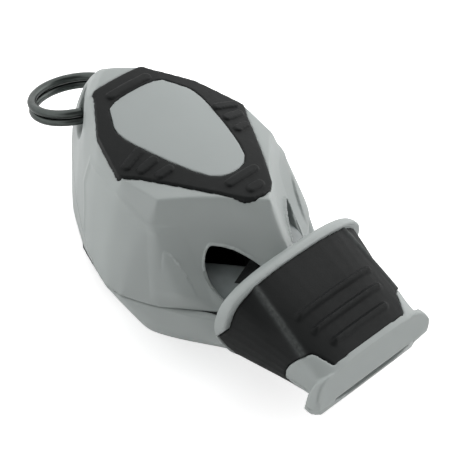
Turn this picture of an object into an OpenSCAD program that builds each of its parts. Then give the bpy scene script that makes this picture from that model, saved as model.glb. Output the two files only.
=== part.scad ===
/* [Body] */
// Length of the body from the rear tip to the collar
body_len = 38.4; // [35:0.2:42]
// Width of the body at its widest place, on the parting plane
body_w = 33; // [31:0.2:36]
// Height of the upper half over the parting plane
upper_depth = 13.1; // [12:0.1:14]
// Depth of the lower half under the parting plane, down to the rest face
lower_depth = 9.6; // [9.4:0.1:12]
// Wall thickness of the two shells
shell_wall = 1.6; // [1.2:0.1:2]
// Radius of the gentle crown across the top and the bottom
crown_radius = 42; // [34:1:60]
// Distance from the collar back to the place where the top edges of the two front facets would meet
facet_run = 3.5; // [3.2:0.1:3.9]
// Angle in plan between the top edge of a front facet and the centre line
facet_angle = 45; // [43:0.5:48]
// Slope of a front facet
facet_slope_angle = 60; // [58:0.5:62]
// Length of the solid rear end that carries the split ring
lug_len = 9.4; // [8.8:0.1:11]

/* [Mouthpiece] */
// Length of the whole mouthpiece, from the body to the front edge of the lip
mouth_len = 16.7; // [16:0.1:19]
// Height of the collar over the parting plane
collar_rise = 9.4; // [9.2:0.1:10]
// Depth of the collar under the parting plane
collar_drop = 8.2; // [8:0.1:9.3]
// Width of the collar
collar_w = 24.8; // [24:0.2:26]
// Thickness of the collar along the whistle
collar_band = 1.8; // [1.4:0.1:2.2]
// Width of the soft mouth grip where it meets the collar
grip_w = 22.8; // [22:0.1:22.8]
// Height of the soft mouth grip over the parting plane, where it meets the collar
grip_rise = 9; // [8.6:0.1:9.1]
// Depth of the soft mouth grip under the parting plane, where it meets the collar
grip_drop = 7.8; // [7.4:0.1:8]
// Wall thickness of the soft mouth grip
grip_wall = 1.3; // [1:0.1:1.6]
// Width of the lip
lip_w = 21.6; // [20.4:0.2:23]
// Height of the lip over the parting plane
lip_rise = 3.9; // [3.7:0.1:4.2]
// Depth of the lip under the parting plane
lip_drop = 3.9; // [3.6:0.1:4.2]
// Width of the air slot in the lip
slot_w = 15.2; // [13:0.2:16]
// Height of the air slot in the lip
slot_h = 1.1; // [0.8:0.1:1.4]

/* [Grips and badges] */
// Distance from the collar back to the middle of the badges
badge_back = 19.6; // [18.6:0.2:20.6]
// Length of a badge
badge_len = 18.4; // [16:0.2:19.4]
// Width of a badge
badge_w = 13.4; // [11:0.2:14]
// Length of a grip frame
frame_len = 26.3; // [25:0.1:27]
// Width of a grip frame
frame_w = 21.8; // [20:0.2:22.4]
// Thickness of a grip frame
frame_thick = 1.1; // [0.8:0.1:1.3]
// Height of the raised grip ridges over their frame
ridge_rise = 0.45; // [0.2:0.05:0.5]
// Width of the raised grip ridges
ridge_w = 1; // [0.7:0.1:1.2]

/* [Split ring] */
// Mean diameter of the split ring
ring_d = 11.3; // [11:0.1:11.8]
// Width of the ring's wire, across the ring
wire_w = 1.2; // [0.9:0.05:1.3]
// Height of the ring's wire, along the ring's axis
wire_h = 0.9; // [0.7:0.05:1]
// Angle by which the ring droops as it lies
ring_droop_angle = 22.6; // [15:0.2:30]

/* [Hidden] */
$fn = 64;

// Sides of the largest arcs
fine = 360;
// Clearance between nested pieces, overrun of the cuts, and thickness of the slices of a form
fit = 0.1;
overrun = 1;
slice = 0.02;
// How far the lower badge stands out of the lower shell, so that the whistle rests on it
foot_rise = 0.6;
lower_crown = lower_depth - foot_rise;
// How far a badge stands out of its frame on the top, and a frame out of its shell
badge_rise = 0.1;
frame_rise = 0.15;

// Each level of the form is its height share and its outline, rear to front: places are shares of
// the body's length and of half its width
form_level_shares = [
    [0, [[0, 0.02], [0.04, 0.11], [0.122, 0.27], [0.224, 0.465], [0.279, 0.564], [0.378, 0.72],
         [0.495, 0.882], [0.58, 0.965], [0.63, 1], [0.69, 0.985], [0.766, 0.89], [0.872, 0.73], [1, 0.5]]],
    [0.33, [[0.006, 0.02], [0.046, 0.105], [0.224, 0.455], [0.4, 0.71], [0.55, 0.86], [0.654, 0.87],
            [0.742, 0.78], [0.831, 0.65], [1, 0.38]]],
    [0.64, [[0.031, 0.02], [0.06, 0.1], [0.135, 0.27], [0.23, 0.44], [0.318, 0.52], [0.625, 0.745],
            [0.719, 0.67], [0.82, 0.56], [1, 0.3]]],
    [0.755, [[0.05, 0.02], [0.5, 0.69]]],
    [0.83, [[0.064, 0.02], [0.09, 0.12], [0.66, 0.64]]],
    [0.93, [[0.085, 0.02], [0.11, 0.13], [0.16, 0.29], [0.315, 0.5], [0.5, 0.65], [0.66, 0.6],
            [0.93, 0.02]]],
    [1, [[0.115, 0.02], [0.135, 0.1], [0.18, 0.24], [0.5, 0.54], [0.66, 0.48], [0.91, 0.02]]]];

// The lower half is fuller at its front, where it has no facets
lower_level_shares = [
    form_level_shares[0],
    [0.33, [[0.006, 0.02], [0.046, 0.105], [0.224, 0.455], [0.4, 0.71], [0.6, 0.88], [0.72, 0.91],
            [0.8, 0.88], [0.86, 0.81], [0.93, 0.7], [1, 0.6]]],
    [0.64, [[0.031, 0.02], [0.06, 0.1], [0.135, 0.27], [0.23, 0.44], [0.318, 0.52], [0.695, 0.79],
            [0.774, 0.81], [0.823, 0.75], [0.858, 0.695], [0.935, 0.545], [1, 0.44]]],
    for (i = [3:len(form_level_shares) - 1]) form_level_shares[i]];

// Height share of a front facet's top edge
facet_edge_share = 0.916;

// Window of a side chamber, in the plane of its facet: its place, its size and its corners
window_drop = 5.3;
window_out = 7.6;
window_len = 7.3;
window_w = 7.2;
window_shares = [[0.055, 0.02], [0.012, 0.049], [-0.006, 0.098], [0.006, 0.254], [0.039, 0.455],
                 [0.115, 0.652], [0.211, 0.852], [0.381, 1.131], [0.96, 0.415], [0.835, 0.287],
                 [0.711, 0.163], [0.578, 0.092], [0.453, 0.039], [0.312, -0.001], [0.18, -0.006]];
// Neck that flares out to the collar: its length, and how far it is drawn in at its two ends
neck_len = 3.4;
neck_front_inset = 1.6;
neck_rear_inset = 6;
// Window of the centre chamber, under the whistle
centre_window_len = 4.6;
centre_window_w = 6.4;
centre_window_top = 1.6;

// Sections of the grip's form: place along it, shares of its width, rise and drop, and the power of
// their upper outline. They are widest somewhat over the parting plane.
mouth_section_shares = [
    [-0.3, 1.08, 0.96, 1.06, 2.8], [0, 1, 1, 1, 2.8], [0.48, 0.877, 0.807, 0.81, 2.95],
    [0.665, 0.846, 0.72, 0.705, 3.05], [0.85, 0.816, 0.62, 0.63, 3.2], [1, 0.811, 0.51, 0.54, 3.2],
    [1.12, 0.81, 0.4, 0.48, 3.2]];
widest_share = 0.37;
under_power = 2;
collar_under_power = 1.75;
section_steps = 40;
// Height of the collar at its rear edge, and the stretch at the parting plane that the grip covers
collar_ease = 0.75;
collar_foot_rise = 5;
collar_foot_lead = 0.25;
lip_depth = 1.6;
lip_tip = 0.15;
band_len = 0.7;
grip_end = mouth_len - lip_depth - band_len;
grip_len = grip_end - collar_band;
stem_wall = 1.1;
nozzle_inset = grip_wall + stem_wall + 2 * fit;
nozzle_end = grip_end - stem_wall;
cheek_len = 4.7;
cheek_rise = 6;
cheek_half_w = 6.4;
cheek_splay = 2.4;
lip_bow = 0.4;
lip_under_bow = 1.4;
lip_plan_radius = 1.6;
lip_end_radius = 3.2;
rib_place_shares = [0.48, 0.665, 0.85];
rib_half_w_shares = [0.56, 0.51, 0.41];
rib_w = 0.85;
rib_rise = 0.4;

// Airways: two side ducts that climb to the upper windows and a centre duct that falls
duct_wall = 0.8;
centre_duct_w = 4.6;
duct_angle = 11;

// Chambers in the cores
core_wall = 1.1;
chamber_front = 3.4;
chamber_deck = 1;

// Outline shares of a grip frame and of a badge, rear to front
frame_shares = [[0, 0.36], [0.01, 0.4], [0.034, 0.425], [0.217, 0.775], [0.285, 0.84], [0.445, 0.98],
                [0.471, 1], [0.49, 0.975], [0.548, 0.86], [0.643, 0.72], [0.787, 0.5], [0.965, 0.215],
                [0.99, 0.13], [1, 0]];
badge_shares = [[0, 0.3], [0.012, 0.55], [0.033, 0.7], [0.092, 0.8], [0.18, 0.95], [0.24, 0.995],
                [0.31, 0.995], [0.424, 0.94], [0.658, 0.765], [0.826, 0.6], [0.924, 0.463],
                [0.975, 0.3], [0.994, 0.15], [1, 0]];
frame_lead = 12.2;
frame_back = badge_back + frame_lead;
// Ridges beside the badge, each from its inner end to its outer end, and those across the ends
side_ridge_shares = [[[0.342, 0.64], [0.365, 0.79]], [[0.43, 0.63], [0.456, 0.875]],
                     [[0.517, 0.6], [0.521, 0.8]], [[0.605, 0.56], [0.601, 0.7]]];
end_ridge_shares = [[0.08, 0.29], [0.855, 0.2], [0.943, 0.07]];

// Lug: its tunnel lies across the rear end, behind the cavity and in front of a round post
tunnel_floor = 4.5;
tunnel_roof = 10.4;
tunnel_front = 7.2;
post_radius = 3.4;

// Split ring: two turns of flat wire, a step between them, and free ends beside the step
turn_pitch = 1.36;
turns = 2;
rings_per_turn = 24;
wire_sides = 6;
step_angle = 34;
end_angle = 12;
ring_seat = 4.7;
ring_rise = 6.6;

half_w = body_w / 2;
long = 2 * body_len;

// Moves the whistle from its parting plane and collar to its rest face
module place() translate([badge_back, 0, lower_depth]) children();

module both_sides() {
    children();
    mirror([0, 1, 0]) children();
}

// Flat outline, closed on its other side, from points of rising x
module mirrored_outline(points)
    polygon(concat(points, [for (i = [len(points) - 1:-1:0]) [points[i].x, -points[i].y]]));

module crown(depth, inset)
    translate([0, 0, depth - crown_radius])
        rotate([0, 90, 0]) cylinder(r = crown_radius - inset, h = 2 * long, center = true, $fn = fine);

// Stands where the top edge of one front facet meets the middle plane, turned to face as it does
module facet_frame(depth)
    translate([-facet_run, 0, facet_edge_share * depth]) rotate([0, 0, facet_angle - 90]) children();

// Neck behind the collar, with the collar's own section
module neck(inset)
    loft([for (end = [[-neck_len, neck_rear_inset], [overrun, neck_front_inset]])
        section_points(end[0], collar_w / 2 - end[1] - inset, collar_rise - collar_ease - end[1] - inset,
                       collar_drop - collar_ease - end[1] - inset, mouth_section_shares[0][4])]);

// One half of the body's form, standing on the parting plane, drawn in by a wall
module half_form(depth, inset, top_inset) {
    upper = depth == upper_depth;
    difference() {
        intersection() {
            hull() for (level = upper ? form_level_shares : lower_level_shares)
                translate([0, 0, level[0] * (depth - top_inset)])
                    linear_extrude(slice) offset(delta = -inset)
                        mirrored_outline([for (p = level[1])
                            [(p.x < 1 ? (p.x - 1) * body_len : inset), p.y * half_w]]);
            crown(depth, top_inset);
        }
        if (upper) both_sides() difference() {
            facet_frame(depth) rotate([0, facet_slope_angle, 0])
                translate([-long, -long, -inset]) cube([2 * long, 2 * long, long]);
            neck(inset);
        }
    }
}

// Space between two planes across the whistle
module between(from, to) translate([from, -long / 2, -long / 2]) cube([to - from, long, long]);

module upper_space() translate([-long, -long, 0]) cube([2 * long, 2 * long, long]);

// Prism through the window of a side chamber, square to its facet
module side_window(depth)
    intersection() {
        facet_frame(depth) rotate([0, facet_slope_angle, 0])
            translate([window_drop, -window_out, -window_len]) linear_extrude(2 * window_len)
                polygon([for (p = window_shares) [p.x * window_len, p.y * window_w]]);
        between(-long, 0);
    }

module centre_window(top)
    translate([-centre_window_len, -centre_window_w / 2, -long])
        cube([centre_window_len, centre_window_w, long - top]);

// Triangles of a tube through rings of points, closed at both ends
function tube_faces(rings, sides) = concat([[for (k = [0:sides - 1]) k]],
    [for (i = [0:rings - 2], k = [0:sides - 1], half = [0, 1])
        let (n = (k + 1) % sides, low = i * sides, high = low + sides)
        half == 0 ? [low + k, high + k, high + n] : [low + k, high + n, low + n]],
    [[for (k = [sides - 1:-1:0]) (rings - 1) * sides + k]]);

// Outline across the mouthpiece, a round-cornered form over a rounder one
function section_points(x, half, rise, drop, power, under = under_power) = [
    for (i = [0:section_steps - 1])
    let (a = 360 * i / section_steps, p = a < 180 ? power : under, widest = widest_share * rise)
    [x, half * sign(cos(a)) * pow(abs(cos(a)), 2 / p),
     widest + (a < 180 ? rise - widest : drop + widest) * sign(sin(a)) * pow(abs(sin(a)), 2 / p)]];

module loft(sections)
    polyhedron([for (points = sections) each points], tube_faces(len(sections), section_steps),
               convexity = 4);

// Form of the mouthpiece behind the lip, drawn in by what lies over it
module mouth_form(inset)
    loft([for (s = mouth_section_shares)
        section_points(collar_band + s[0] * grip_len, s[1] * grip_w / 2 - inset, s[2] * grip_rise - inset,
                       s[3] * grip_drop - inset, s[4])]);

// Wedge across the collar at the parting plane, where the grip reaches back to the body
module collar_foot(gap) rotate([90, 0, 0]) linear_extrude(long, center = true)
    translate([gap, 0])
        polygon([[collar_foot_lead, 0], [collar_band + overrun, collar_foot_rise],
                 [collar_band + overrun, -collar_foot_rise]]);

module collar() {
    power = mouth_section_shares[0][4];
    difference() {
        loft([for (step = [[0, fit, collar_ease], [collar_band / 2, 0, 0], [collar_band, 0, 0]])
            section_points(step[0], collar_w / 2 - step[1], collar_rise - step[2], collar_drop - step[2],
                           power, collar_under_power)]);
        collar_foot(0);
    }
}

// Lip with a wedge-shaped nose, a bowed front edge and round ends
module lip() {
    seat = grip_end + band_len;
    half_lip(lip_rise, lip_bow) {
        translate([-lip_w / 2, 0]) square([lip_w, lip_rise - lip_end_radius + slice]);
        translate([lip_end_radius - lip_w / 2, 0]) square([lip_w - 2 * lip_end_radius, lip_rise]);
        for (side = [-1, 1])
            translate([side * (lip_w / 2 - lip_end_radius), lip_rise - lip_end_radius])
                circle(r = lip_end_radius);
    }
    mirror([0, 0, 1]) half_lip(lip_drop, lip_under_bow)
        scale([lip_w / lip_drop / 2, 1]) circle(r = lip_drop);
    module half_lip(rise, bow) {
        bow_radius = pow(lip_w / 2, 2) / (2 * bow);
        intersection() {
            translate([seat, 0, 0]) rotate([90, 0, 0]) linear_extrude(lip_w, center = true)
                polygon([[-band_len, 0], [-band_len, rise - band_len], [0, rise],
                         [lip_depth - lip_tip, slot_h / 2], [lip_depth, 0]]);
            linear_extrude(long) intersection() {
                translate([mouth_len - bow_radius, 0]) circle(r = bow_radius, $fn = fine);
                round_ended(seat, lip_plan_radius, seat - band_len, mouth_len);
            }
            rotate([90, 0, 90]) linear_extrude(long) children();
        }
    }
    module round_ended(centre, radius, from, to) {
        translate([from, -lip_w / 2 + radius]) square([to - from, lip_w - 2 * radius]);
        for (side = [-1, 1]) translate([centre, side * (lip_w / 2 - radius)]) circle(r = radius);
    }
}

// Space of the two cheeks, which show beside the front end of the grip
module cheeks(gap) {
    intersection() {
        translate([grip_end, 0, 0]) rotate([90, 0, 0]) linear_extrude(long, center = true)
            scale([(cheek_len - gap) / (cheek_rise - gap), 1]) circle(r = cheek_rise - gap);
        both_sides() translate([0, 0, -long / 2]) linear_extrude(long)
            polygon([[grip_end + slice, cheek_half_w + gap],
                     [grip_end - cheek_len, cheek_half_w + cheek_splay + gap],
                     [grip_end - cheek_len, long], [grip_end + slice, long]]);
    }
}

// Half width of the airways together, at the front end of the nozzle
function duct_half_w() = lookup((nozzle_end - collar_band) / grip_len,
    [for (s = mouth_section_shares) [s[0], s[1]]]) * grip_w / 2 - nozzle_inset - duct_wall;

// What both shells share of the mouthpiece: collar, stem, cheeks, the band in front of the grip and lip
module mouthpiece_shell() {
    difference() {
        union() {
            intersection() {
                mouth_form(grip_wall + fit);
                between(0, grip_end + slice);
            }
            intersection() {
                mouth_form(0);
                between(grip_end, grip_end + band_len + slice);
            }
            collar();
            lip();
            intersection() {
                mouth_form(0);
                cheeks(fit);
            }
        }
        intersection() {
            mouth_form(nozzle_inset - fit);
            between(-overrun, nozzle_end + fit);
        }
        translate([0, 0, -slot_h / 2]) linear_extrude(slot_h)
            mirrored_outline([[nozzle_end, duct_half_w()], [mouth_len, slot_w / 2],
                              [mouth_len + overrun, slot_w / 2]]);
    }
}

// One shell, outer side up: body wall, its half of the mouthpiece and the seat of grip and badge
module shell(depth, under) {
    difference() {
        union() {
            difference() {
                half_form(depth, 0, 0);
                intersection() {
                    half_form(depth, shell_wall, shell_wall + frame_thick);
                    between(-body_len + lug_len, overrun);
                }
                between(0, long);
            }
            intersection() {
                mirror([0, 0, under]) mouthpiece_shell();
                upper_space();
            }
        }
        difference() {
            linear_extrude(long) frame_outline(fit);
            crown(depth, frame_thick);
        }
    }
}

module frame_outline(grow)
    translate([-frame_back, 0]) offset(delta = grow)
        mirrored_outline([for (p = frame_shares) [p.x * frame_len, p.y * frame_w / 2]]);

module badge_outline(grow)
    translate([-badge_back - badge_len / 2, 0]) offset(delta = grow)
        mirrored_outline([for (p = badge_shares) [p.x * badge_len, p.y * badge_w / 2]]);

// Flat bar with round ends between two points
module bar(from, to, width) {
    run = to - from;
    for (p = [from, to]) translate(p) circle(d = width, $fn = 32);
    translate(from) rotate(atan2(run.y, run.x)) translate([0, -width / 2]) square([norm(run), width]);
}

module ridge_outlines() {
    translate([-frame_back, 0]) {
        for (ridge = side_ridge_shares, side = [-1, 1])
            bar([ridge[0].x * frame_len, side * ridge[0].y * frame_w / 2],
                [ridge[1].x * frame_len, side * ridge[1].y * frame_w / 2], ridge_w);
        for (ridge = end_ridge_shares)
            bar([ridge.x * frame_len, -ridge.y * frame_w / 2],
                [ridge.x * frame_len, ridge.y * frame_w / 2], ridge_w);
    }
}

// Grip frame round a badge, upper side up, on the crown of a half
module grip_frame(depth) {
    difference() {
        union() {
            intersection() {
                linear_extrude(long) frame_outline(0);
                crown(depth, -frame_rise);
            }
            intersection() {
                linear_extrude(long) ridge_outlines();
                crown(depth, -ridge_rise);
            }
        }
        crown(depth, frame_thick - slice);
        linear_extrude(long) badge_outline(fit);
    }
}

module upper_shell() {
    color("#9FA4A3") place() difference() {
        shell(upper_depth, 0);
        both_sides() side_window(upper_depth);
        lug_tunnel();
    }
    module lug_tunnel() {
        radius = (tunnel_roof - tunnel_floor) / 2;
        difference() {
            rotate([90, 0, 0]) linear_extrude(body_w, center = true) {
                translate([-body_len - overrun, tunnel_floor])
                    square([tunnel_front - radius + overrun, 2 * radius]);
                translate([-body_len + tunnel_front - radius, tunnel_floor + radius]) circle(r = radius);
            }
            translate([-body_len, 0, 0]) cylinder(r = post_radius, h = upper_depth);
        }
    }
}

module lower_shell() {
    color("#979C9B") place() difference() {
        mirror([0, 0, 1]) shell(lower_crown, 1);
        centre_window(centre_window_top);
    }
}

// Inside of a core, between its rear wall and its front
module core_form(depth, inset)
    intersection() {
        half_form(depth, shell_wall + fit + inset, shell_wall + frame_thick + fit + inset);
        between(-body_len + lug_len + fit + inset, inset > 0 ? -chamber_front : -fit);
    }

// Two side chambers, open below and under their windows
module chamber_core_upper() {
    color("#1F2222") place() difference() {
        core_form(upper_depth, 0);
        difference() {
            translate([0, 0, -slice]) core_form(upper_depth, core_wall);
            translate([-long, -core_wall / 2, 0]) cube([long, core_wall, long]);
        }
        intersection() {
            both_sides() side_window(upper_depth);
            between(-long, -chamber_front);
        }
    }
}

// Centre chamber under a deck that closes the side chambers
module chamber_core_lower() {
    color("#1F2222") place() difference() {
        mirror([0, 0, 1]) core_form(lower_crown, 0);
        mirror([0, 0, 1]) intersection() {
            core_form(lower_crown, core_wall);
            translate([-long, -centre_window_w / 2, chamber_deck]) cube([long, centre_window_w, long]);
        }
        centre_window(centre_window_top);
    }
}

// Insert in the stem with the two side ducts and the centre duct
module airway_nozzle() {
    side_duct_w = duct_half_w() - centre_duct_w / 2 - duct_wall;
    color("#232626") place() difference() {
        intersection() {
            mouth_form(nozzle_inset);
            between(0, nozzle_end);
        }
        both_sides() translate([nozzle_end, centre_duct_w / 2 + duct_wall, -slot_h / 2])
            rotate([0, duct_angle, 0]) translate([-long, 0, 0]) cube([long + overrun, side_duct_w, slot_h]);
        translate([nozzle_end, -centre_duct_w / 2, -slot_h / 2])
            rotate([0, -duct_angle, 0]) translate([-long, 0, 0])
                cube([long + overrun, centre_duct_w, slot_h]);
    }
}

module top_grip_frame() {
    color("#2B2E2E") place() grip_frame(upper_depth);
}

module bottom_grip_frame() {
    color("#2B2E2E") place() mirror([0, 0, 1]) grip_frame(lower_crown);
}

module top_badge() {
    color("#9FA4A3") place() intersection() {
        linear_extrude(long) badge_outline(0);
        difference() {
            crown(upper_depth, -frame_rise - badge_rise);
            crown(upper_depth, frame_thick - slice);
        }
    }
}

// The lower badge is flat below: the whistle rests on it
module bottom_badge() {
    color("#979C9B") place() mirror([0, 0, 1]) difference() {
        linear_extrude(lower_depth) badge_outline(0);
        crown(lower_crown, frame_thick - slice);
    }
}

// Soft sleeve over the stem, open at the cheeks, with ribs above and below
module mouth_grip() {
    color("#2B2E2E") place() difference() {
        union() {
            intersection() {
                mouth_form(0);
                union() {
                    between(collar_band + slice, grip_end - slice);
                    intersection() {
                        collar_foot(fit);
                        between(0, grip_end - slice);
                    }
                }
            }
            for (i = [0:len(rib_place_shares) - 1])
                rib(rib_place_shares[i], rib_half_w_shares[i] * grip_w / 2);
        }
        mouth_form(grip_wall);
        cheeks(0);
    }
    module rib(share, half) {
        x = collar_band + share * grip_len;
        intersection() {
            loft([rib_points(x - rib_w / 2, share, 0), rib_points(x, share, rib_rise),
                  rib_points(x + rib_w / 2, share, 0)]);
            translate([0, -half, -long]) cube([long, 2 * half, 2 * long]);
        }
    }
    function column(share, n) = lookup(share, [for (s = mouth_section_shares) [s[0], s[n]]]);
    function rib_points(x, share, rise) = section_points(x, column(share, 1) * grip_w / 2 + rise,
        column(share, 2) * grip_rise + rise, column(share, 3) * grip_drop + rise, column(share, 4));
}

// Height of the wire's centre over the ring's middle, along its two turns
function step_share(a) = max(0, min(1, (a - 360) / step_angle + 0.5));
function wire_lift(a) = turn_pitch * (pow(step_share(a), 2) * (3 - 2 * step_share(a)) - 0.5);
wire_from = step_angle / 2 + end_angle;
wire_to = turns * 360 - wire_from;
wire_rings = turns * rings_per_turn;
function wire_angle(i) = wire_from + (wire_to - wire_from) * i / wire_rings;
wire_points = [for (i = [0:wire_rings], k = [0:wire_sides - 1])
    let (a = wire_angle(i), b = -360 * k / wire_sides, r = ring_d / 2 + wire_w / 2 * cos(b))
    [-r * cos(a), -r * sin(a), wire_lift(a) + wire_h / 2 * sin(b)]];
wire_gap = min([for (i = [0:wire_rings], j = [0:wire_rings]) if (j - i > rings_per_turn / 2)
    for (k = [0:wire_sides - 1], m = [0:wire_sides - 1])
        norm(wire_points[i * wire_sides + k] - wire_points[j * wire_sides + m])]);

// Split ring of one unbroken wire, through the lug and round its post
module split_ring() {
    color("#3A3D3B") place() translate([ring_seat - body_len, 0, ring_rise])
        rotate([0, -ring_droop_angle, 0]) translate([-ring_d / 2, 0, 0])
            polyhedron(wire_points, tube_faces(wire_rings + 1, wire_sides), convexity = 6);
    echo(str("least gap of the ring's wire to itself, in mm: ", wire_gap));
}

upper_shell();
lower_shell();
chamber_core_upper();
chamber_core_lower();
airway_nozzle();
top_grip_frame();
bottom_grip_frame();
top_badge();
bottom_badge();
mouth_grip();
split_ring();
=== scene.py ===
import math

import bmesh
import bpy
from mathutils import Matrix, Vector
from mathutils.kdtree import KDTree


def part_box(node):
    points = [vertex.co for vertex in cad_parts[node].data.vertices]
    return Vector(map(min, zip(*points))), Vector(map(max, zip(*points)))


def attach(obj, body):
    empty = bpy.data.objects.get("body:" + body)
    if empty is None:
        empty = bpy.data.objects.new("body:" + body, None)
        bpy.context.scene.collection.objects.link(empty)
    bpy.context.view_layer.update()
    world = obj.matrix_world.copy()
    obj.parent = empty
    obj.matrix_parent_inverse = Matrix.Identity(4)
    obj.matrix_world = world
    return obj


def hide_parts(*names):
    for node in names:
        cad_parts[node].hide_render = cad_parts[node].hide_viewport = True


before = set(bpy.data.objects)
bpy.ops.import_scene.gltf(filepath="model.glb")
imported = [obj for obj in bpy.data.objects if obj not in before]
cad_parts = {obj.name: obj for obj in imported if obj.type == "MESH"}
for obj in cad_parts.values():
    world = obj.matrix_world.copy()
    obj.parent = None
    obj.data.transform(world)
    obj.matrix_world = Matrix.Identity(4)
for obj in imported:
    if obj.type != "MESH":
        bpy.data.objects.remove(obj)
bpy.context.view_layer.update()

MM = 0.001

# Points nearer to each other than this are one point
SAME_POINT = 0.002 * MM

# The whistle's own zero: the rear face of the collar, the middle plane and the parting plane
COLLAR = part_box("airway_nozzle")[0][0]
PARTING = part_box("upper_shell")[0][2]

# The photograph's camera, in millimetres and degrees, in the whistle's own frame
CAMERA_PLACE = Vector((105.02, -130.49, 174.52))
CAMERA_TILT = 45.0
CAMERA_HEADING = 36.0
CAMERA_ROLL = 11.876
CAMERA_LENS = 140.87
SENSOR_WIDTH = 36.0

# Light tent: radiance of its cloth, of the dark opening near the camera, and of the lamp behind the cloth
TENT_LIGHT = 1.35
OPENING_LIGHT = 0.15
OPENING_DIRECTION = (0.624, -0.332, 0.707)
OPENING_ANGLES = (63.0, 33.0)
LAMP_LIGHT = 1.0
LAMP_DIRECTION = (0.345, 0.853, 0.391)
LAMP_ANGLES = (48.0, 0.0)

# How much brighter the paper is for the camera alone, and half the paper's width in metres
PAPER_LIFT = 0.62
PAPER_REACH = 0.6

# Sizes of the skins' grids, and how often each skin is smoothed all over and away from its real edges
SHELL_GRID = 0.17
FRAME_GRID = 0.12
GRIP_GRID = 0.14
SHELL_PASSES = 4
UPPER_SOFT_PASSES = 80
LOWER_SOFT_PASSES = 160
CREASED_PASSES = 2
FRAME_PASSES = 2
BADGE_PASSES = 3
GRIP_PASSES = 2
GRIP_SOFT_PASSES = 5
MOST_TRIANGLES = 190000

# An edge that turns further than this stays crisp. The shoulder line, high on the shell, turns less.
# Smoothing sets in between the two reaches from such an edge. The least face is the side of a square, and
# smaller faces are passed over
SHARP_ANGLE = 50.0
SHOULDER_ANGLE = 24.0
SHOULDER_HEIGHT = 10.5
EDGE_REACH = (0.35, 1.5)
EDGE_SPACING = 0.2
LEAST_FACE = 0.05

# The rounded crest between the two front facets: its half width, its stretch and its lowest level
CREST_HALF_WIDTH = 0.6
CREST_STRETCH = (-4.2, -0.2)
CREST_FOOT = 6.0

# Front facets of the upper shell: where their top edges meet, their directions, and their hollow.
# The hollow moves only skin that lies near the facet's plane and faces up
FACET_RUN = 3.5
FACET_TOP = 12.0
FACET_ANGLE = 45.0
FACET_SLOPE = 60.0
HOLLOW_MIDDLE = (6.5, 6.0)
HOLLOW_REACH = (7.5, 6.5)
HOLLOW_DEPTH = 0.5
HOLLOW_SKIN = 0.4
HOLLOW_FACING = 0.3

# Soft ridge of each front facet: the level where it starts, its place there with its gain down the slope,
# the facet's outer edge in the same form, its steepness, and how it runs out inwards and down to the
# parting plane
RIDGE_FROM = 3.3
RIDGE_PLACE = (14.3, -0.52)
FACET_EDGE = (15.83, -0.155)
RIDGE_STEEPNESS = 0.22
RIDGE_ROUNDING = 0.25
RIDGE_INNER_REACH = 3.5
RIDGE_FOOT = 2.5
RIDGE_SKIN = 0.9
RIDGE_FACING = 0.2
RIDGE_LEAST_LEVEL = 0.05

# Fine creases of the upper shell's sides, as places along and above the collar's rear foot
CREASES = [[(-26.2, 8.2), (-19.1, 9.9), (-11.7, 8.4)],
           [(-26.2, 8.2), (-26.2, 4.8), (-24.3, 2.9), (-22.8, 0.5)]]
CREASE_RISE = 0.11
CREASE_SPREAD = 0.36
CREASE_FACING = 0.35
CREASE_LEAST_OUT = 6.0

# Ribs on the mouth grip's upper side, as places along it and half lengths, and how far they are raised
RIBS = [(7.85, 6.4), (10.2, 5.9), (12.5, 4.7)]
RIB_RISE = 0.32
RIB_SPREAD = 0.42
RIB_FACING = 0.3

# Crease between the mouth grip's top and each side: its place across with its gain along, its rise and
# spread, and the hollow beside it
GRIP_CREASE_PLACE = (7.95, 0.07)
GRIP_CREASE_RISE = 0.22
GRIP_CREASE_SPREAD = 0.36
GRIP_HOLLOW = 0.16
GRIP_HOLLOW_PLACE = 1.3
GRIP_HOLLOW_SPREAD = 0.8
GRIP_FACING = 0.4

# How far a soft frame swells over the shell's edge beside it
FRAME_SWELL = 0.11

# Split ring: two turns of oval wire that step over each other inside the lug.
# Its seat is the middle of the wire there, as a place along and above the whistle's zero
RING_MEAN_RADIUS = 5.65
RING_WIRE = 1.2
RING_WIRE_HEIGHT = 1.08
RING_PITCH = 1.17
RING_STEP = 34.0
RING_END = 12.0
RING_SEAT = (-33.7, 6.6)
RING_DROOP = 22.6
RING_STEPS = 240
RING_ROUNDNESS = 5

# Ramps that close the lower half of each upper window: their spans along and down the facet, how deep they
# lie below it at their upper and lower edges, their wall, and their grid
RAMP_ALONG = (-0.9, 8.0)
RAMP_DOWN = (8.4, 12.9)
RAMP_SINK = (3.2, 0.7)
RAMP_WALL = 0.8
RAMP_GRID = (12, 24)


def at(x, y, z):
    """A place in millimetres from the whistle's own zero, in the frame's metres."""
    return Vector((COLLAR + x * MM, y * MM, PARTING + z * MM))


def from_zero(point):
    """A point's place in millimetres from the whistle's own zero."""
    return (point.x - COLLAR) / MM, point.y / MM, (point.z - PARTING) / MM


def linear(hex_code):
    """sRGB hex colour as linear RGBA."""
    parts = [int(hex_code[i:i + 2], 16) / 255 for i in (1, 3, 5)]
    return [p / 12.92 if p <= 0.04045 else ((p + 0.055) / 1.055) ** 2.4 for p in parts] + [1.0]


def smoothstep(low, high, value):
    """A soft rise from 0 to 1 while the value goes from low to high."""
    share = min(1.0, max(0.0, (value - low) / (high - low)))
    return share * share * (3 - 2 * share)


def add_node(tree, kind, settings=None, inputs=None, links=None):
    """Adds one shader node, with its settings, its fixed inputs and what is linked into it."""
    node = tree.nodes.new(kind)
    for name, value in (settings or {}).items():
        setattr(node, name, value)
    for name, value in (inputs or {}).items():
        node.inputs[name].default_value = value
    for name, source in (links or {}).items():
        tree.links.new(source, node.inputs[name])
    return node


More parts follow.
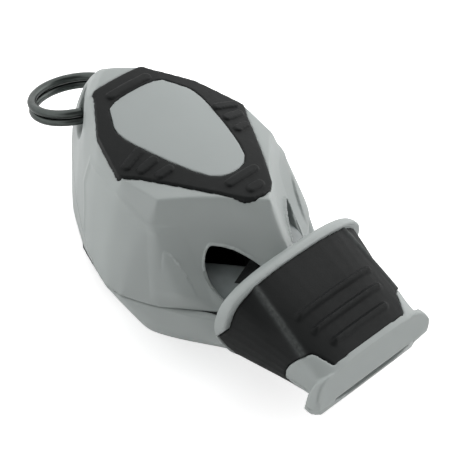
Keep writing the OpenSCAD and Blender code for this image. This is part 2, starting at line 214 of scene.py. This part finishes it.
def new_material(name, **constants):
    """A material with one Principled shader whose constants sit on its own sockets."""
    material = bpy.data.materials.new(name)
    material.use_nodes = True
    shader = material.node_tree.nodes["Principled BSDF"]
    for socket, value in constants.items():
        shader.inputs[socket.replace("_", " ")].default_value = value
    return material, material.node_tree, shader


def speckle(tree, coordinates, size_mm, detail=2.0):
    """Noise whose grains are about this many millimetres across."""
    return add_node(tree, "ShaderNodeTexNoise", inputs={"Scale": 1 / (size_mm * MM), "Detail": detail},
                    links={"Vector": coordinates}).outputs["Fac"]


def tinted(tree, shader, factor, dark, light):
    """Drives the base colour between two close tones."""
    tone = add_node(tree, "ShaderNodeMix", {"data_type": "RGBA"}, links={"Factor": factor})
    tone.inputs["A"].default_value = linear(dark)
    tone.inputs["B"].default_value = linear(light)
    tree.links.new(tone.outputs["Result"], shader.inputs["Base Color"])
    return tone


def roughened(tree, shader, factor, low, high):
    """Lets the gloss wander a little between two roughness values."""
    spread = add_node(tree, "ShaderNodeMapRange", inputs={"To Min": low, "To Max": high},
                      links={"Value": factor})
    tree.links.new(spread.outputs["Result"], shader.inputs["Roughness"])


def grained(tree, shader, height, depth_mm, strength):
    """Bump of a real depth from a height pattern."""
    bump = add_node(tree, "ShaderNodeBump", inputs={"Strength": strength, "Distance": depth_mm * MM},
                    links={"Height": height})
    tree.links.new(bump.outputs["Normal"], shader.inputs["Normal"])


def abs_shell():
    """Moulded ABS: a mid grey with a satin skin, faint flow clouds and a very fine tool texture."""
    material, tree, shader = new_material("grey_abs_moulded", IOR=1.53, Metallic=0.0)
    place = add_node(tree, "ShaderNodeTexCoord").outputs["Object"]
    tinted(tree, shader, speckle(tree, place, 9.0), "#9DA3A2", "#A4AAA8")
    roughened(tree, shader, speckle(tree, place, 3.0), 0.3, 0.4)
    grained(tree, shader, speckle(tree, place, 0.16), 0.012, 0.45)
    return material


def abs_badge():
    """The same ABS with the eroded, duller face that a badge plate has."""
    material, tree, shader = new_material("grey_abs_eroded", IOR=1.53, Metallic=0.0)
    place = add_node(tree, "ShaderNodeTexCoord").outputs["Object"]
    tinted(tree, shader, speckle(tree, place, 6.0), "#9AA09F", "#A0A6A5")
    roughened(tree, shader, speckle(tree, place, 1.2), 0.48, 0.58)
    grained(tree, shader, speckle(tree, place, 0.2), 0.02, 0.5)
    return material


def soft_tpe():
    """Thermoplastic elastomer: near black, dull and finely pitted, with a dusting and a painted highlight,
    a lighter grey, along its creases.
    """
    material, tree, shader = new_material("black_tpe_moulded", IOR=1.47, Metallic=0.0)
    place = add_node(tree, "ShaderNodeTexCoord").outputs["Object"]
    shader.inputs["Specular IOR Level"].default_value = 0.22
    tone = tinted(tree, shader, speckle(tree, place, 2.5, 4.0), "#131515", "#1A1C1C")
    # painted highlight, with some dusting: a lighter grey mixed in along the grip's creases
    dust_and_highlight = add_node(tree, "ShaderNodeAttribute", {"attribute_name": "dust_and_highlight"})
    dust_and_highlight_share = add_node(tree, "ShaderNodeMath", {"operation": "MULTIPLY"},
                    links={0: dust_and_highlight.outputs["Fac"], 1: speckle(tree, place, 0.5, 5.0)})
    dust_and_highlight_tone = add_node(tree, "ShaderNodeMix", {"data_type": "RGBA"}, links={"Factor": dust_and_highlight_share.outputs["Value"]})
    tree.links.new(tone.outputs["Result"], dust_and_highlight_tone.inputs["A"])
    dust_and_highlight_tone.inputs["B"].default_value = linear("#5A5E5D")
    tree.links.new(dust_and_highlight_tone.outputs["Result"], shader.inputs["Base Color"])
    roughened(tree, shader, speckle(tree, place, 0.8), 0.5, 0.64)
    grained(tree, shader, speckle(tree, place, 0.22, 3.0), 0.03, 0.6)
    return material


def core_abs():
    """Polished black ABS of the inner parts, with clear reflections."""
    material, tree, shader = new_material("black_abs_polished", IOR=1.53, Metallic=0.0)
    place = add_node(tree, "ShaderNodeTexCoord").outputs["Object"]
    tinted(tree, shader, speckle(tree, place, 4.0), "#0D0F0E", "#151717")
    roughened(tree, shader, speckle(tree, place, 1.5), 0.18, 0.28)
    return material


def ramp_abs():
    """The insert's ramps: polished dark plastic with a lighter grey base colour, a painted reflection of
    the bright surround.
    """
    material, tree, shader = new_material("dark_abs_painted_reflection", IOR=1.53, Metallic=0.0)
    place = add_node(tree, "ShaderNodeTexCoord").outputs["Object"]
    # painted reflection: the lighter grey stands in for the gloss of the dark insert
    tinted(tree, shader, speckle(tree, place, 1.5), "#737A7A", "#878E8E")
    roughened(tree, shader, speckle(tree, place, 0.8), 0.16, 0.26)
    return material


def ring_steel():
    """Blackened spring steel: a dark oxide skin over drawn wire, brighter where it has rubbed."""
    material, tree, shader = new_material("blackened_spring_steel", Metallic=1.0)
    place = add_node(tree, "ShaderNodeTexCoord").outputs["Object"]
    tinted(tree, shader, speckle(tree, place, 1.5, 4.0), "#424644", "#5C615F")
    roughened(tree, shader, speckle(tree, place, 0.6, 3.0), 0.24, 0.4)
    grained(tree, shader, speckle(tree, place, 0.25), 0.01, 0.4)
    return material


def paper_floor():
    """White paper. The camera sees it a little lifted, so that only the close shadow shows."""
    material, tree, shader = new_material("white_paper", Roughness=0.9)
    shader.inputs["Base Color"].default_value = linear("#FAFAFA")
    shader.inputs["Specular IOR Level"].default_value = 0.0
    shader.inputs["Emission Color"].default_value = linear("#FFFFFF")
    path = add_node(tree, "ShaderNodeLightPath")
    lift = add_node(tree, "ShaderNodeMath", {"operation": "MULTIPLY"},
                    links={0: path.outputs["Is Camera Ray"]})
    lift.inputs[1].default_value = PAPER_LIFT
    tree.links.new(lift.outputs["Value"], shader.inputs["Emission Strength"])
    return material


def finish_piece(piece, material, body, nodes):
    """Gives a piece its finish, its body, and the CAD nodes that it stands for."""
    piece.data.materials.clear()
    piece.data.materials.append(material)
    for face in piece.data.polygons:
        face.use_smooth = True
    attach(piece, body)
    if nodes:
        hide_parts(*nodes)


def new_piece(name, mesh):
    """A piece at the origin, with its place in its mesh."""
    piece = bpy.data.objects.new(name, mesh)
    bpy.context.scene.collection.objects.link(piece)
    return piece


def applied(piece):
    """Bakes a piece's modifiers into its mesh."""
    graph = bpy.context.evaluated_depsgraph_get()
    mesh = bpy.data.meshes.new_from_object(piece.evaluated_get(graph))
    piece.modifiers.clear()
    piece.data = mesh
    return piece


def smoothed(piece, passes, group=""):
    """Adds smoothing passes, weighted by a vertex group where one is named."""
    smooth = piece.modifiers.new("soften", "SMOOTH")
    smooth.iterations = passes
    smooth.vertex_group = group


def on_crest(point):
    """The rounded ridge between the two front facets, which is not a tool edge."""
    x, y, z = from_zero(point)
    return abs(y) < CREST_HALF_WIDTH and CREST_STRETCH[0] < x < CREST_STRETCH[1] and z > CREST_FOOT


def edge_tree(work):
    """Points along the real edges of a solid, which keep their place when its skin is smoothed."""
    least_area = (LEAST_FACE * MM) ** 2
    points = []
    for edge in work.edges:
        if len(edge.link_faces) != 2 or min(f.calc_area() for f in edge.link_faces) < least_area:
            continue
        start, end = (v.co for v in edge.verts)
        high = min(start.z, end.z) > PARTING + SHOULDER_HEIGHT * MM
        if edge.calc_face_angle(0.0) < math.radians(SHOULDER_ANGLE if high else SHARP_ANGLE):
            continue
        steps = max(1, int((end - start).length / (EDGE_SPACING * MM)))
        points += [start.lerp(end, i / steps) for i in range(steps + 1)]
    points = [p for p in points if not on_crest(p)]
    tree = KDTree(len(points))
    for i, point in enumerate(points):
        tree.insert(point, i)
    tree.balance()
    return tree


def moulded(node, name, grid_mm, passes, soft_passes=0):
    """A copy of a CAD solid with the blended faces and small rounded edges of a moulding."""
    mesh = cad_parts[node].data.copy()
    work = bmesh.new()
    work.from_mesh(mesh)
    bmesh.ops.remove_doubles(work, verts=work.verts, dist=SAME_POINT)
    edges = edge_tree(work) if soft_passes else None
    work.to_mesh(mesh)
    work.free()
    piece = new_piece(name, mesh)
    remesh = piece.modifiers.new("skin", "REMESH")
    remesh.mode = "VOXEL"
    remesh.voxel_size = grid_mm * MM
    applied(piece)
    if soft_passes:
        group = piece.vertex_groups.new(name="soft")
        for vert in piece.data.vertices:
            gap = edges.find(vert.co)[2] / MM
            group.add([vert.index], smoothstep(*EDGE_REACH, gap), "REPLACE")
        smoothed(piece, soft_passes, group="soft")
    smoothed(piece, passes)
    applied(piece)
    piece.vertex_groups.clear()
    return piece


def thinned(piece):
    """Merges a piece's smallest faces until it is within the limit on triangles."""
    triangles = sum(len(face.vertices) - 2 for face in piece.data.polygons)
    if triangles > MOST_TRIANGLES:
        piece.modifiers.new("thin", "DECIMATE").ratio = MOST_TRIANGLES / triangles
        applied(piece)
    return piece


def with_normals(piece):
    """A mesh's vertices with the normals that they have before any of them moves."""
    return list(zip(piece.data.vertices, [vert.normal.copy() for vert in piece.data.vertices]))


def facet_place(x, y, z):
    """Place on a front facet: along its top edge, down its slope, and out of its plane."""
    turn = math.radians(FACET_ANGLE)
    slope = math.radians(FACET_SLOPE)
    x, y, z = x + FACET_RUN, abs(y), z - FACET_TOP
    along = (y - x) * math.sin(turn)
    out = (y + x) * math.cos(turn)
    return along, out * math.cos(slope) - z * math.sin(slope), out * math.sin(slope) + z * math.cos(slope)


def hollow_facets(piece):
    """Draws each front facet in a little towards its middle."""
    for vert, normal in with_normals(piece):
        along, down, out = facet_place(*from_zero(vert.co))
        if abs(out) > HOLLOW_SKIN or normal.z < HOLLOW_FACING:
            continue
        far = math.hypot((along - HOLLOW_MIDDLE[0]) / HOLLOW_REACH[0],
                         (down - HOLLOW_MIDDLE[1]) / HOLLOW_REACH[1])
        vert.co -= normal * HOLLOW_DEPTH * MM * smoothstep(0.0, 1.0, 1 - far ** 2)


def ridge_rise(along, down):
    """How far the soft ridge stands out of a front facet at a place on it."""
    ridge = RIDGE_PLACE[0] + RIDGE_PLACE[1] * (down - RIDGE_FROM)
    outer_reach = FACET_EDGE[0] + FACET_EDGE[1] * down - ridge
    if down < RIDGE_FROM or outer_reach <= 0:
        return 0.0
    share = (along - ridge) / (outer_reach if along > ridge else -RIDGE_INNER_REACH)
    if share >= 1:
        return 0.0
    fall = math.hypot(share, RIDGE_ROUNDING) - RIDGE_ROUNDING
    whole_fall = math.hypot(1.0, RIDGE_ROUNDING) - RIDGE_ROUNDING
    return RIDGE_STEEPNESS * outer_reach * (1 - fall / whole_fall)


def ridge_facets(piece):
    """Swells each front facet level outwards along its soft ridge, down to the parting line."""
    turn = math.radians(FACET_ANGLE)
    for vert, normal in with_normals(piece):
        x, y, z = from_zero(vert.co)
        along, down, out = facet_place(x, y, z)
        if abs(out) > RIDGE_SKIN or normal.z < RIDGE_FACING or z < RIDGE_LEAST_LEVEL:
            continue
        push = ridge_rise(along, down) * smoothstep(0.0, RIDGE_FOOT, z) * MM
        vert.co += push * Vector((math.cos(turn), math.copysign(math.sin(turn), y), 0.0))


def gap_to_line(x, z, points):
    """Least distance from a place to a line through points, seen from the side."""
    best = math.inf
    for (x1, z1), (x2, z2) in zip(points, points[1:]):
        run, rise = x2 - x1, z2 - z1
        share = min(1.0, max(0.0, ((x - x1) * run + (z - z1) * rise) / (run * run + rise * rise)))
        best = min(best, math.hypot(x - x1 - share * run, z - z1 - share * rise))
    return best


def crease_sides(piece):
    """Raises the fine lines where the side's gently turned faces meet."""
    for vert, normal in with_normals(piece):
        x, y, z = from_zero(vert.co)
        if math.copysign(1.0, y) * normal.y < CREASE_FACING or abs(y) < CREASE_LEAST_OUT:
            continue
        gap = min(gap_to_line(x, z, points) for points in CREASES)
        vert.co += normal * CREASE_RISE * MM * math.exp(-(gap / CREASE_SPREAD) ** 2)


def swollen(piece, swell):
    """Grows a piece a little all round."""
    for vert, normal in with_normals(piece):
        vert.co += normal * swell * MM
    return piece


def raise_ribs(piece):
    """Raises the ribs on the mouth grip's upper side, so that their edges catch the light."""
    for vert, normal in with_normals(piece):
        if normal.z < RIB_FACING:
            continue
        x, y, z = from_zero(vert.co)
        gap = min(math.hypot(x - place, max(0.0, abs(y) - half)) for place, half in RIBS)
        vert.co.z += RIB_RISE * MM * math.exp(-(gap / RIB_SPREAD) ** 4)


def crease_grip(piece):
    """Draws the creases between the mouth grip's top and sides, with their hollows, and a lighter grey
    along them that is a dusting and a painted highlight.
    """
    dust_and_highlight = piece.data.attributes.new("dust_and_highlight", "FLOAT", "POINT")
    for i, (vert, normal) in enumerate(with_normals(piece)):
        x, y, z = from_zero(vert.co)
        gap = abs(y) - GRIP_CREASE_PLACE[0] - GRIP_CREASE_PLACE[1] * x
        shown = smoothstep(0.0, GRIP_FACING, normal.z)
        crest = math.exp(-(gap / GRIP_CREASE_SPREAD) ** 2)
        hollow = math.exp(-((gap - GRIP_HOLLOW_PLACE) / GRIP_HOLLOW_SPREAD) ** 2)
        vert.co += normal * shown * (GRIP_CREASE_RISE * crest - GRIP_HOLLOW * hollow) * MM
        # the creases' mask for the painted highlight and dusting, on the upward faces
        dust_and_highlight.data[i].value = shown * crest


def ring_piece():
    """The split ring: one oval wire wound twice, with its step and its ends inside the lug."""
    curve = bpy.data.curves.new("split_ring_wire", "CURVE")
    curve.dimensions = "3D"
    curve.bevel_depth = RING_WIRE / 2 * MM
    curve.bevel_resolution = RING_ROUNDNESS
    curve.use_fill_caps = True
    spline = curve.splines.new("POLY")
    first = RING_STEP / 2 + RING_END
    last = 720 - first
    spline.points.add(RING_STEPS)
    flatten = RING_WIRE_HEIGHT / RING_WIRE
    for i in range(RING_STEPS + 1):
        angle = first + (last - first) * i / RING_STEPS
        lift = RING_PITCH * (smoothstep(-0.5, 0.5, (angle - 360) / RING_STEP) - 0.5)
        turn = math.radians(angle)
        spline.points[i].co = (
            RING_MEAN_RADIUS * math.cos(turn) * MM,
            RING_MEAN_RADIUS * math.sin(turn) * MM,
            lift / flatten * MM,
            1.0,
        )
    wire = new_piece("split_ring_wire", curve)
    graph = bpy.context.evaluated_depsgraph_get()
    mesh = bpy.data.meshes.new_from_object(wire.evaluated_get(graph))
    bpy.data.objects.remove(wire)
    seat = at(RING_SEAT[0], 0, RING_SEAT[1])
    place = (Matrix.Translation(seat) @ Matrix.Rotation(math.radians(-RING_DROOP), 4, "Y")
             @ Matrix.Translation((-RING_MEAN_RADIUS * MM, 0, 0)) @ Matrix.Diagonal((1, 1, flatten, 1)))
    mesh.transform(place)
    work = bmesh.new()
    work.from_mesh(mesh)
    bmesh.ops.remove_doubles(work, verts=work.verts, dist=SAME_POINT)
    bmesh.ops.recalc_face_normals(work, faces=work.faces)
    work.to_mesh(mesh)
    work.free()
    return new_piece("split_ring_wire", mesh)


def facet_point(along, down, out, side):
    """The place that facet_place gives back as these three, on the left (-1) or the right (1) facet."""
    turn = math.radians(FACET_ANGLE)
    slope = math.radians(FACET_SLOPE)
    level = down * math.cos(slope) + out * math.sin(slope)
    x = level * math.cos(turn) - along * math.sin(turn) - FACET_RUN
    y = level * math.sin(turn) + along * math.cos(turn)
    return at(x, side * y, FACET_TOP - down * math.sin(slope) + out * math.cos(slope))


def window_ramp(side, name):
    """The rounded ramp of the insert that rises to a window's lower edge."""
    work = bmesh.new()
    grid = bmesh.ops.create_grid(work, x_segments=RAMP_GRID[0], y_segments=RAMP_GRID[1], size=0.5)
    for vert in grid["verts"]:
        across, rise = vert.co.x + 0.5, vert.co.y + 0.5
        along = RAMP_ALONG[0] + (RAMP_ALONG[1] - RAMP_ALONG[0]) * across
        down = RAMP_DOWN[0] + (RAMP_DOWN[1] - RAMP_DOWN[0]) * rise
        sink = RAMP_SINK[1] + (RAMP_SINK[0] - RAMP_SINK[1]) * (1 - math.sin(rise * math.pi / 2))
        vert.co = facet_point(along, down, -sink, side)
    bmesh.ops.recalc_face_normals(work, faces=work.faces)
    bmesh.ops.solidify(work, geom=work.faces[:], thickness=RAMP_WALL * MM)
    bmesh.ops.recalc_face_normals(work, faces=work.faces)
    mesh = bpy.data.meshes.new(name)
    work.to_mesh(mesh)
    work.free()
    return new_piece(name, mesh)


def camera():
    """The camera of the photograph."""
    data = bpy.data.cameras.new("photo_camera")
    data.lens = CAMERA_LENS
    data.sensor_width = SENSOR_WIDTH
    data.clip_start = 0.01
    cam = bpy.data.objects.new("photo_camera", data)
    turn = (Matrix.Rotation(math.radians(CAMERA_HEADING), 4, "Z")
            @ Matrix.Rotation(math.radians(CAMERA_TILT), 4, "X")
            @ Matrix.Rotation(math.radians(CAMERA_ROLL), 4, "Z"))
    cam.matrix_world = Matrix.Translation(CAMERA_PLACE * MM) @ turn
    bpy.context.scene.collection.objects.link(cam)
    bpy.context.scene.camera = cam


def paper():
    """Seamless white paper under the whistle."""
    work = bmesh.new()
    bmesh.ops.create_grid(work, x_segments=2, y_segments=2, size=PAPER_REACH)
    mesh = bpy.data.meshes.new("floor")
    work.to_mesh(mesh)
    work.free()
    floor = new_piece("floor", mesh)
    floor.data.materials.append(paper_floor())


def glow(tree, place, direction, angles, lights):
    """Radiance that turns softly from the first light to the second between two angles off a direction."""
    toward = add_node(tree, "ShaderNodeVectorMath", {"operation": "DOT_PRODUCT"}, links={0: place})
    toward.inputs[1].default_value = Vector(direction).normalized()
    outer, inner = (math.cos(math.radians(angle)) for angle in angles)
    fade = add_node(tree, "ShaderNodeMapRange", {"interpolation_type": "SMOOTHSTEP"},
                    {"From Min": outer, "From Max": inner, "To Min": lights[0], "To Max": lights[1]},
                    {"Value": toward.outputs["Value"]})
    return fade.outputs["Result"]


def light_tent():
    """An even white surround with a soft dark opening near the camera and a lamp behind the cloth."""
    world = bpy.data.worlds.new("light_tent")
    world.use_nodes = True
    tree = world.node_tree
    place = add_node(tree, "ShaderNodeTexCoord").outputs["Generated"]
    cloth = glow(tree, place, OPENING_DIRECTION, OPENING_ANGLES, (TENT_LIGHT, OPENING_LIGHT))
    lamp = glow(tree, place, LAMP_DIRECTION, LAMP_ANGLES, (0.0, LAMP_LIGHT))
    both = add_node(tree, "ShaderNodeMath", {"operation": "ADD"}, links={0: cloth, 1: lamp})
    background = tree.nodes["Background"]
    background.inputs["Color"].default_value = linear("#FFFFFF")
    tree.links.new(both.outputs["Value"], background.inputs["Strength"])
    bpy.context.scene.world = world


camera()
paper()
light_tent()

GREY = abs_shell()
BADGE = abs_badge()
TPE = soft_tpe()
CORE = core_abs()
RAMP = ramp_abs()
STEEL = ring_steel()

upper = moulded("upper_shell", "upper_shell_skin", SHELL_GRID, SHELL_PASSES, UPPER_SOFT_PASSES)
ridge_facets(upper)
hollow_facets(upper)
crease_sides(upper)
smoothed(upper, CREASED_PASSES)
finish_piece(thinned(applied(upper)), GREY, "whistle", ["upper_shell"])
lower = moulded("lower_shell", "lower_shell_skin", SHELL_GRID, SHELL_PASSES, LOWER_SOFT_PASSES)
finish_piece(thinned(lower), GREY, "whistle", ["lower_shell"])
for half in ("top", "bottom"):
    soft_frame = moulded(half + "_grip_frame", half + "_grip_skin", FRAME_GRID, FRAME_PASSES)
    finish_piece(swollen(soft_frame, FRAME_SWELL), TPE, "whistle", [half + "_grip_frame"])
for half in ("top", "bottom"):
    plate = moulded(half + "_badge", half + "_badge_plate", FRAME_GRID, BADGE_PASSES)
    finish_piece(plate, BADGE, "whistle", [half + "_badge"])
grip = moulded("mouth_grip", "mouth_grip_sleeve", GRIP_GRID, GRIP_PASSES, GRIP_SOFT_PASSES)
raise_ribs(grip)
crease_grip(grip)
finish_piece(thinned(grip), TPE, "whistle", ["mouth_grip"])
for ramp_side, ramp_name in ((-1, "window_ramp_left"), (1, "window_ramp_right")):
    finish_piece(window_ramp(ramp_side, ramp_name), RAMP, "whistle", [])
finish_piece(ring_piece(), STEEL, "ring", ["split_ring"])
for core_node in ("chamber_core_upper", "chamber_core_lower", "airway_nozzle"):
    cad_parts[core_node].data.materials.clear()
    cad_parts[core_node].data.materials.append(CORE)

bpy.context.scene.view_settings.view_transform = "Standard"
